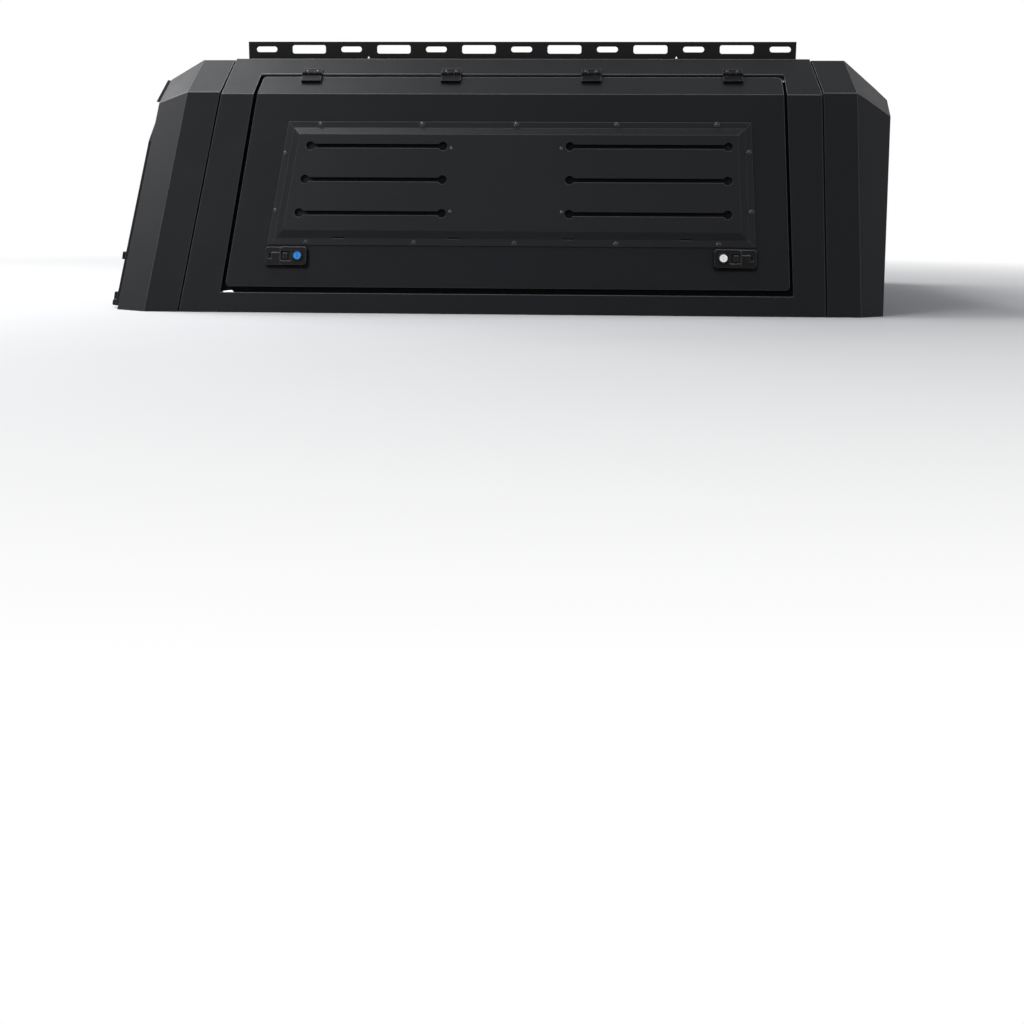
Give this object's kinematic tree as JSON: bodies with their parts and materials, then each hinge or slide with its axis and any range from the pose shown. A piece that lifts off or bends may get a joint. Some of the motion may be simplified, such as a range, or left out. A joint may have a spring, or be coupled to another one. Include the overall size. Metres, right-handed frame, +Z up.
{
  "type": "pickup truck canopy",
  "caption": "Folded steel canopy over a pickup's load bed, with leaning sides, a lift-up side door that carries a slotted plate, a rear glass hatch and slotted roof rails.",
  "frame": {"origin": "middle of the footprint on the top of the bed rails, at z = 0", "axes": "+X forward to the cab, +Y to the vehicle's left, +Z up"},
  "size_m": [1.6951, 1.5, 0.577],
  "materials": {
    "painted_steel": "fine-texture satin black powder coat",
    "hinge_steel": "black coated steel",
    "black_plastic": "satin moulded black",
    "key_metal": "bright key cap; the rear one is anodised blue",
    "rubber": "matt black rubber",
    "glass": "tinted"
  },
  "bodies": {
    "canopy": {"front_header": "painted_steel", "front_left_pillar": "painted_steel", "front_right_pillar": "painted_steel", "front_sill": "painted_steel", "front_window": "glass", "front_window_seal": "rubber", "hatch_hinge_arms": "hinge_steel", "hatch_seal": "rubber", "left_door_front_key_cap": "key_metal", "left_door_front_latch": "black_plastic", "left_door_hinge_leaves": "hinge_steel", "left_door_panel": "painted_steel", "left_door_plate": "painted_steel", "left_door_rear_key_cap": "key_metal", "left_door_rear_latch": "black_plastic", "left_door_seal": "rubber", "left_door_stiffeners": "painted_steel", "left_frame_hinge_leaves": "hinge_steel", "left_roof_rail": "painted_steel", "left_side_header": "painted_steel", "left_side_wall": "painted_steel", "rear_gutter": "painted_steel", "rear_header": "painted_steel", "rear_left_pillar": "painted_steel", "rear_right_pillar": "painted_steel", "right_door_seal": "rubber", "right_frame_hinge_leaves": "hinge_steel", "right_roof_rail": "painted_steel", "right_side_header": "painted_steel", "right_side_wall": "painted_steel", "roof_bows": "painted_steel", "roof_panel": "painted_steel"},
    "right_door": {"right_door_front_key_cap": "key_metal", "right_door_front_latch": "black_plastic", "right_door_hinge_leaves": "hinge_steel", "right_door_panel": "painted_steel", "right_door_plate": "painted_steel", "right_door_rear_key_cap": "key_metal", "right_door_rear_latch": "black_plastic", "right_door_stiffeners": "painted_steel"},
    "rear_hatch": {"hatch_catches": "black_plastic", "hatch_frame": "painted_steel", "hatch_glass": "glass", "hatch_hinge_leaves": "hinge_steel", "hatch_knobs": "black_plastic"}
  },
  "joints": [
    {"name": "right_door_hinge", "type": "hinge", "parent": "canopy", "child": "right_door", "pos_m": [0.05285, -0.58178, 0.5027], "axis": [-1, 0, 0], "range_deg": [0, 85]},
    {"name": "rear_hatch_hinge", "type": "hinge", "parent": "canopy", "child": "rear_hatch", "pos_m": [-0.75822, 0, 0.49283], "axis": [0, 1, 0], "range_deg": [0, 85]}
  ]
}
